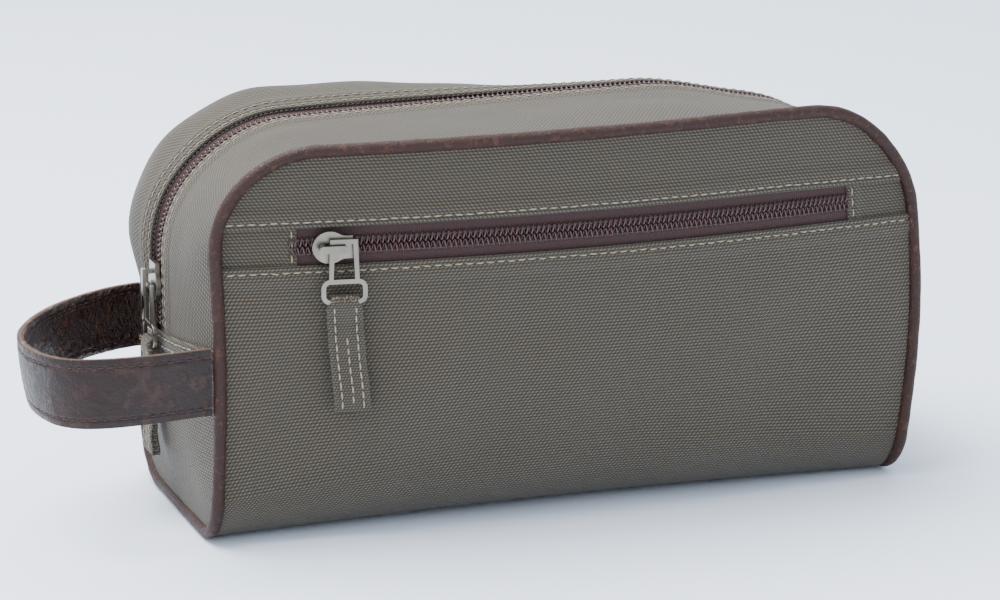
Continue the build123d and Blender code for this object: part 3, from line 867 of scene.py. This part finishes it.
def mainZip():
    shoulder = seamTop - bag["zipCornerRadius"]
    foot = 2 + (shoulder - crossSeam - 2) / (shoulder - gussetFoot)
    t = np.concatenate([np.linspace(-foot, -2, 80), np.linspace(-2, -1, 120)[1:],
                        np.linspace(-1, 1, 300)[1:],
                        np.linspace(1, 2, 120)[1:], np.linspace(2, foot, 80)[1:]])
    line = settle(gussetAt(t, 0 * t))
    up, side = frameOf(line, line - bagMiddle)
    side = side * np.sign(side[len(t) // 2, 1])
    for row, sign in (("Front", -1), ("Rear", 1)):
        node = row.lower()
        coilAlong("mainCoil" + row, ["main_zip_coil_" + node], line, up, side, sign, pi * (sign < 0))
        y = sign * np.linspace(0.7, 15.0, 12)[None]
        grid = settle(gussetAt(archSteps[:, None] + 0 * y, y + 0 * archSteps[:, None], tapeDepth))
        run = lengthsAlong(grid[:, 0])
        clothObject("mainTape" + row, grid, run[:, None] + 0 * y, y + 0 * run[:, None],
                    ["main_zip_tape_" + node], "zipTape", "zip_tape", thick=0.6)
        thread = settle(gussetAt(t, sign * 2.4 + 0 * t, 0.22))
        stitches("mainCoilThread" + row, [(thread, up)], 1.85, 0.28, 0.25, 0.1, "zipThread", "zip_tape")


pocketZip()
mainZip()


# topstitching
print("topstitching")


def rowOn(points):
    # a stitch row's points with a rough outward direction for each
    return points, points - bagMiddle


def frontRow(x, z, lift):
    points = settle(frontFace(x, z, lift))
    return points, np.stack([0 * x, 0 * x - 1, 0 * x], -1)


def pocketStitches():
    x = np.linspace(-halfLength + 3, halfLength - 3, 300)
    low = frontRow(x, openingLow - 2.3 + 0 * x, 0.5)
    edge = halfLength - 3.5
    x = np.linspace(-edge, edge, 300)
    high = frontRow(x, openingHigh + 2.3 + 0 * x, 0.5)
    z = np.linspace(openingLow + 0.4, openingHigh - 0.4, 20)
    left = frontRow(openingLeft - 2.0 + 0 * z, z, -0.45)
    right = frontRow(openingRight + 2.0 + 0 * z, z, -0.45)
    stitches("pocketStitches", [low, high, left, right], stitchPitch, 0.28, 1.0, 0.2, seed=3)


def gussetStitches():
    t = archSteps
    rows = []
    for sign in (-1, 1):
        for d, lift in zip(zipRows, (0.45, 0.6)):
            points = settle(gussetAt(t, sign * (zipEdge + d) + 0 * t, lift))
            inside = points[:, 2] > crossHeight(points[:, 1]) + 1
            rows.append(rowOn(points[inside]))
    stitches("zipStitches", rows, stitchPitch, 0.24, 1.1, 0.12, seed=4)
    rows = []
    w = np.linspace(-0.95, 0.95, 120)
    for sign in (-1, 1):
        for d in (1.9, 5.0):
            height = crossHeight(halfDepth * w) * (1 - d / crossSeam)
            points = settle(endPanel(sign, height, w, 0.95))
            rows.append((points, np.stack([sign + 0 * w, 0 * w, 0 * w], -1)))
    stitches("crossSeamStitches", rows, stitchPitch, 0.26, 1.0, 0.15, seed=5)


pocketStitches()
gussetStitches()


# sliders and pulls: the CAD castings with their edges broken
print("sliders")


def brokenEdges(name, node, body, width, finish="nickel"):
    # a copy of a CAD node, its loose triangles joined and its edges rounded
    source = frame["nodes"][node]
    source = source if hasattr(source, "data") else bpy.data.objects[node]
    mesh = source.data.copy()
    work = bmesh.new()
    work.from_mesh(mesh)
    bmesh.ops.remove_doubles(work, verts=work.verts, dist=0.00001)
    bmesh.ops.dissolve_limit(work, angle_limit=radians(3), verts=work.verts, edges=work.edges)
    work.to_mesh(mesh)
    work.free()
    mesh.name = name
    made = bpy.data.objects.new(name, mesh)
    bpy.context.scene.collection.objects.link(made)
    mesh.materials.clear()
    mesh.materials.append(materials[finish])
    mesh.polygons.foreach_set("use_smooth", np.ones(len(mesh.polygons), bool))
    mesh.set_sharp_from_angle(angle=radians(50))
    bevel = made.modifiers.new("rounding", "BEVEL")
    bevel.width = width * mm
    bevel.segments = 3
    bevel.limit_method = "ANGLE"
    bevel.angle_limit = radians(38)
    bevel.harden_normals = True
    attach(made, body)
    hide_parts(node)
    return made


brokenEdges("pocketSlider", "pocket_slider_body", "pocket_slider", 0.22)
brokenEdges("mainSlider", "main_slider_body", "main_slider", 0.22)
brokenEdges("pocketPull", "pocket_slider_pull", "pocket_pull", 0.42)
brokenEdges("mainPull", "main_slider_pull", "main_pull", 0.42)


# pull tabs
print("pull tabs")
tab = dict(width=12.4, eyeWidth=9.6, ply=1.1, bar=1.38, length=39.0, taper=8.0, inset=2.3)


def jointNamed(name):
    found = [j for j in frame["record"]["behaviour"]["joints"] if j["name"] == name][0]
    return np.array(found["pos_m"]) / mm, np.array(found["axis"], float)


def tabThickness(l):
    # half thickness by distance l below the ring's bar: round over the bar, closing to two plies
    top = tab["bar"] + tab["ply"]
    below = top + (tab["ply"] + 0.12 - top) * smooth(l / tab["taper"])
    return np.where(l < 0, np.sqrt(np.clip(top ** 2 - l ** 2, 0.02, None)), below)


def pullTab(name, node, body, joint, sway, splay, lean=0.0):
    # doubled cloth over the ring's bar: a flat rounded section with a groove between its plies,
    # carried down a line that bends a little
    centre, axis = jointNamed(joint)
    along = -axis / np.linalg.norm(axis)
    out = np.cross(np.array([0, 0, 1.0]), along) * -1
    out = out / np.linalg.norm(out)
    top = tab["bar"] + tab["ply"]
    l = np.concatenate([top * np.sin(np.linspace(-pi / 2, 0, 9)) * 0.995,
                        np.linspace(0.4, tab["length"], 64)])
    turn = np.linspace(0, 2 * pi, 44, endpoint=False)
    c, s = np.cos(turn), np.sin(turn)
    wide = tab["eyeWidth"] / 2 + (tab["width"] - tab["eyeWidth"]) / 2 * smooth((l - 0.4) / 1.2)
    wide = wide * (1 + 0.012 * ripple(l, 0 * l, 51, 14))
    thick = tabThickness(l)
    across = np.sign(c) * np.abs(c) ** 0.22
    groove = 1 - 0.07 * np.exp(-(s / 0.16) ** 2)
    deep = np.sign(s) * np.abs(s) ** 0.62
    bend = sway * smooth(l / 30) + 0.35 * ripple(l, 0 * l, 52, 30) * smooth(l / 12)
    parting = splay * smooth((l - 24) / 15)
    rows = np.exp(-((np.abs(across * wide[:, None]) - (wide[:, None] - tab["inset"])) / 0.55) ** 2)
    below = smooth((l - 3) / 3)[:, None]
    half = thick[:, None] * deep[None] * (1 - 0.16 * rows * below) + parting[:, None] * np.sign(deep)[None]
    half = half + 0.12 * ripple(l[:, None], across[None] * 6, 53, 9) * below
    lay = half + bend[:, None]
    x = across[None] * wide[:, None] * groove[None]
    drift = lean * smooth(l / 45) * 1.3
    grid = (centre + (x + drift[:, None])[..., None] * along + lay[..., None] * out
            - np.array([0, 0, 1.0]) * l[:, None, None])
    u = np.concatenate([x, x[:, :1]], 1)
    v = np.repeat(l[:, None], len(turn) + 1, 1)
    made = gridObject(name, grid, u, v, closeCols=True, caps=True, finish="tabNylon", slot="nylon",
                      body=body)
    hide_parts(node)
    lines = []
    down = np.linspace(1.0, tab["length"] - 1.2, 80)
    face = np.interp(down, l, thick) * 0.86 + np.interp(down, l, bend) + np.interp(down, l, parting)
    rear = -np.interp(down, l, thick) * 0.86 + np.interp(down, l, bend) - np.interp(down, l, parting)

    def rowLine(at, depth):
        # a stitch row, at millimetres from the tab's middle line and depth out of its middle plane
        shifted = (at + np.interp(down, l, drift))[:, None] * along
        return centre + shifted + depth[:, None] * out - down[:, None] * np.array([0, 0, 1.0])

    for shift in (-1, 1):
        at = shift * (tab["width"] / 2 - tab["inset"] - 0.2)
        for depth, sign in ((face + 0.1, 1), (rear - 0.1, -1)):
            line = rowLine(at, depth)
            lines.append((line, sign * out + 0 * line))
    middle = (down > 12) & (down < tab["length"] - 3)
    for depth, sign in ((face + 0.12, 1), (rear - 0.12, -1)):
        line = rowLine(0.2, depth)
        lines.append((line[middle], sign * out + 0 * line[middle]))
    stitches(name + "Stitches", lines, 3.3, 0.3, 0.7, 0.2, body=body, seed=7)
    # frayed ends of the folded cloth where it turns over the bar
    rng = np.random.default_rng(12)
    tufts = []
    for _ in range(26):
        at = rng.uniform(-0.5, 0.5) * tab["eyeWidth"]
        start = centre + at * along + out * rng.uniform(1.2, 2.3) + np.array([0, 0, rng.uniform(0.2, 1.6)])
        reach = along * rng.normal(0, 0.6) + out * rng.uniform(0.2, 0.8)
        reach = reach + np.array([0, 0, rng.uniform(0.4, 1.3)])
        tufts.append((np.stack([start, start + reach]), np.stack([out, out])))
    stitches(name + "Fray", tufts, 1.4, 0.13, 0.05, 0.0, "frayThread", "nylon", body, seed=8)


weave("tabNylon", 1.15, 0.95, "120f0b", "7c6f56", 0.4, 0.0004, gain=0.6)
thread("frayThread", "9c7f6c", "6a4f44")
pullTab("pocketTab", "pocket_pull_tab", "pocket_tab", "pocket_tab_lift", -0.9, 0.0, 2.2)
pullTab("mainTab", "main_pull_tab", "main_tab", "main_tab_lift", 0.3, 0.5)


# handle
print("handle")
handle = dict(height=23.0, row=0.76, blendStart=-4.0, blendEnd=-28.0)
handleLow, handleHigh = boxOf("handle_outer_leather")
strapMiddle = (handleLow[2] + handleHigh[2]) / 2


def handleLine(count=260):
    # plan of the strap: a smooth cubic curve drawn by a few guide points, front seam to rear seam
    far = handleLow[0]
    guides = np.array([(-halfLength - 0.4, -48.6), (-halfLength - 8, -49.3), (-halfLength - 26, -52.2),
                       (far + 12, -51), (far + 4.5, -35), (far + 3, -14), (far + 10, 8),
                       (far + 23, 27), (-halfLength - 20, 41.5), (-halfLength - 6, 48),
                       (-halfLength - 0.4, 48.6)])
    full = np.concatenate([guides[:1], guides[:1], guides, guides[-1:], guides[-1:]])
    spans = len(full) - 3
    at = np.linspace(0, spans - 1e-9, 600)
    k, f = at.astype(int), (at % 1)[:, None]
    p = [full[k + n] for n in range(4)]
    line = ((1 - f) ** 3 * p[0] + (3 * f ** 3 - 6 * f ** 2 + 4) * p[1]
            + (-3 * f ** 3 + 3 * f ** 2 + 3 * f + 1) * p[2] + f ** 3 * p[3]) / 6
    line = resample(line, count)
    return np.concatenate([line, np.full((count, 1), strapMiddle)], 1)


def strapLean(share):
    # the strap's upward direction by share of its length: tilted a little where it bends
    return np.stack([-0.13 * np.exp(-((share - 0.47) / 0.16) ** 2),
                     0.16 * np.exp(-((share - 0.24) / 0.12) ** 2), 1 + 0 * share], -1)


def strapSkin(side, v, s):
    # how far one skin stands from the strap's middle at height v (-1 to 1) and length s: padded
    # in the middle, folded flat along both edges, a groove under the stitches, and crinkles
    crown = (1 - np.abs(v) ** 3) ** 0.8 if side > 0 else 0.55 * (1 - np.abs(v) ** 3)
    groove = np.exp(-((np.abs(v) - handle["row"]) / 0.045) ** 2)
    end = smooth(s / 10) * smooth((s[-1] - s) / 10)
    crinkle = ripple(s, v * 11, 61, 17, 12) * 0.17 + ripple(s, v * 11, 62, 6, 12) * 0.1
    crinkle = crinkle - 0.4 * np.abs(ripple(s, v * 9, 63, 26, 5)) ** 0.5 * smooth((0.7 - np.abs(v)) / 0.2)
    amount = 1.0 if side > 0 else 0.35
    return 1.15 + 1.25 * crown * (0.4 + 0.6 * end) - 0.45 * groove + crinkle * amount * end


def strapLayer(name, nodes, finish, slot, side):
    line = handleLine()
    s = lengthsAlong(line)[:, None]
    v = np.sin(np.linspace(-pi / 2, pi / 2, 64))[None]
    outer = strapSkin(side, v, s)
    inner = 0.12 + 0 * outer
    high = v * handle["height"] / 2
    roll = 0.5 * (np.abs(v) > 0.999)
    face = np.stack([side * (outer - roll), high + 0 * outer], -1)
    back = np.stack([side * inner, high + 0 * outer], -1)[:, ::-1]
    section = np.concatenate([face, back], 1)
    lean = strapLean((s / s[-1]).ravel())
    made = tubeObject(name, line, section, lean, finish=finish, slot=slot, body=None, bendsTo="handle")
    bendAndReplace(made, nodes)
    return made


def bendAndReplace(made, nodes=()):
    start = ((-halfLength + handle["blendStart"]) * mm, 0, strapMiddle * mm)
    end = ((-halfLength + handle["blendEnd"]) * mm, 0, strapMiddle * mm)
    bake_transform(made)
    if nodes:
        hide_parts(*nodes)


def strapEdge():
    # the raw edge of the folded leather, a thin band that shows along the top and the bottom
    line = handleLine()
    turn = np.linspace(0, 2 * pi, 40, endpoint=False)
    c, s = np.cos(turn), np.sin(turn)
    tall = handle["height"] / 2 + 0.22
    section = np.stack([0.95 * np.sign(c) * np.abs(c) ** 0.5, tall * np.sign(s) * np.abs(s) ** 0.14], -1)
    lean = strapLean(np.linspace(0, 1, len(line)))
    made = tubeObject("handleEdge", line, section, lean, finish="leatherEdge", slot="strap_leather",
                      body=None, bendsTo="handle")
    bendAndReplace(made, ["handle_padding"])
    run = lengthsAlong(line)
    rows = []
    for side in (1, -1):
        for edge in (-1, 1):
            tangent = np.gradient(line, axis=0)
            tangent = tangent / np.linalg.norm(tangent, axis=1, keepdims=True)
            raised = lean - np.sum(lean * tangent, 1, keepdims=True) * tangent
            raised = raised / np.linalg.norm(raised, axis=1, keepdims=True)
            outward = np.cross(tangent, raised) * side
            v = edge * handle["row"]
            skin = strapSkin(side, np.full((1, 1), v), run[:, None]).ravel()
            points = line + raised * v * handle["height"] / 2 + outward * (skin + 0.05)[:, None]
            rows.append((points[4:-4], outward[4:-4]))
    sewn = stitches("handleStitches", rows, 3.4, 0.28, 0.7, 0.15, "brownThread", "strap_leather",
                    body=None, bendsTo="handle", seed=9)
    bendAndReplace(sewn)


strapLayer("handleOuter", ["handle_outer_leather", "handle_roots"], "strapLeather", "strap_leather", 1)
strapLayer("handleInner", ["handle_inner_leather"], "strapBacking", "strap_backing", -1)
strapEdge()


# what lies inside: the CAD sheets, drawn in and settled with the bag
print("inside")


def insideCorner(x, y, z):
    # keeps x and z within the gusset's corners, whose radius grows from the seams to the zip
    radius = bag["zipCornerRadius"]
    middleX, middleZ = halfLength + bag["endBulge"] - radius, seamTop - radius
    over, rise = np.abs(x) - middleX, z - middleZ
    far = np.hypot(over, rise)
    turn = np.arctan2(rise, over)
    nearSeam = np.clip(np.abs(y) / halfDepth, 0, 1) ** bag["fullness"]
    squarer = (radius - bag["cornerRadius"]) * (sqrt(2) - 1)
    limit = radius - bag["liningDepth"] + nearSeam * (squarer * np.sin(2 * turn) - bag["endBulge"] * np.cos(turn))
    share = np.where((over > 0) & (rise > 0), np.minimum(1, limit / np.clip(far, 1e-6, None)), 1)
    return np.sign(x) * np.where(share < 1, middleX + over * share, np.abs(x)), np.where(
        share < 1, middleZ + rise * share, z)


def insideSheet(name, node, finish):
    # each point keeps its share of the way from the bag's middle plane to its front or back
    source = frame["nodes"][node]
    mesh = source.data.copy()
    co = np.zeros(len(mesh.vertices) * 3)
    mesh.vertices.foreach_get("co", co)
    points = co.reshape(-1, 3) / mm
    x, y, z = points.T
    depthFront = frontReach(x, z) / (frontLine(x) - footInset(z, bag["frontFoot"]))
    depthRear = rearReach(x, z) / (backLine(x) - footInset(z, bag["rearFoot"]))
    if name == "gussetLining":
        x, z = insideCorner(x, y, z)
    scaled = np.stack([x, y * np.where(y < 0, depthFront, depthRear), z], -1)
    settled = settle(scaled) * mm
    mesh.vertices.foreach_set("co", settled.ravel())
    mesh.materials.clear()
    mesh.materials.append(materials[finish])
    mesh.update()
    mesh.name = name
    made = bpy.data.objects.new(name, mesh)
    bpy.context.scene.collection.objects.link(made)
    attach(made, "bag")
    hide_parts(node)


for name, node, finish in (("frontFoam", "front_foam", "foam"), ("backFoam", "back_foam", "foam"),
                           ("baseBoard", "base_board", "board"), ("bodyLining", "body_lining", "lining"),
                           ("gussetLining", "gusset_lining", "lining"),
                           ("pocketLining", "pocket_lining", "lining")):
    insideSheet(name, node, finish)


# floor, light and camera
print("floor, light and camera")


def floor():
    shader, seed, place, uv = material("paleFloor")
    cloud = noiseOf(seed, place, 3.0, 2.0)
    tone = cloud.mix((*rgb("e6f0ff"), 1), (*rgb("eef5ff"), 1))
    finishShader(shader, seed, tone, 0.55, noiseOf(seed, place, 60.0), 0.0001, 0.2)
    span, rows = 6.0, 60
    y = np.linspace(-2.5, 3.0, rows)
    z = 0.35 * np.clip(y - 1.6, 0, None) ** 2 - 0.0002
    x = np.linspace(-span, span, 2)
    grid = np.stack(np.broadcast_arrays(x[None], y[:, None], z[:, None]), -1) / mm
    quads, _, _ = gridFaces(rows, 2)
    made = makeObject("floor", grid, quads.tolist(), finish="paleFloor", body=None)


def softLight(name, place, aim, size, power, tint):
    data = bpy.data.lights.new(name, "AREA")
    data.shape, data.size, data.size_y = "RECTANGLE", size[0], size[1]
    data.energy, data.color = power, tint
    made = bpy.data.objects.new(name, data)
    made.location = place
    made.rotation_euler = (Vector(aim) - Vector(place)).to_track_quat("-Z", "Y").to_euler()
    bpy.context.scene.collection.objects.link(made)


def studio():
    world = bpy.data.worlds.new("studio")
    bpy.context.scene.world = world
    world.use_nodes = True
    world.node_tree.nodes["Background"].inputs["Color"].default_value = (0.80, 0.88, 1.0, 1)
    world.node_tree.nodes["Background"].inputs["Strength"].default_value = 1.55
    softLight("topSoftbox", (-0.5, 0.35, 1.5), (0, 0, 0.05), (1.5, 1.2), 76, (1.0, 0.985, 0.96))
    softLight("leftSoftbox", (-1.7, -0.5, 0.9), (0, 0, 0.07), (1.0, 1.0), 5, (1.0, 0.98, 0.95))
    softLight("frontFill", (0.8, -2.0, 0.9), (0, 0, 0.07), (1.6, 1.0), 6, (1.0, 0.97, 0.93))


def camera():
    data = bpy.data.cameras.new("camera")
    data.lens, data.sensor_width = 134.4, 36
    data.clip_start, data.clip_end = 0.05, 30
    made = bpy.data.objects.new("camera", data)
    made.location = (-0.4395, -1.2229, 0.3962)
    aim = Vector((-0.0069, 0, 0.0650))
    made.rotation_euler = (aim - made.location).to_track_quat("-Z", "Y").to_euler()
    bpy.context.scene.collection.objects.link(made)
    bpy.context.scene.camera = made


floor()
studio()
camera()
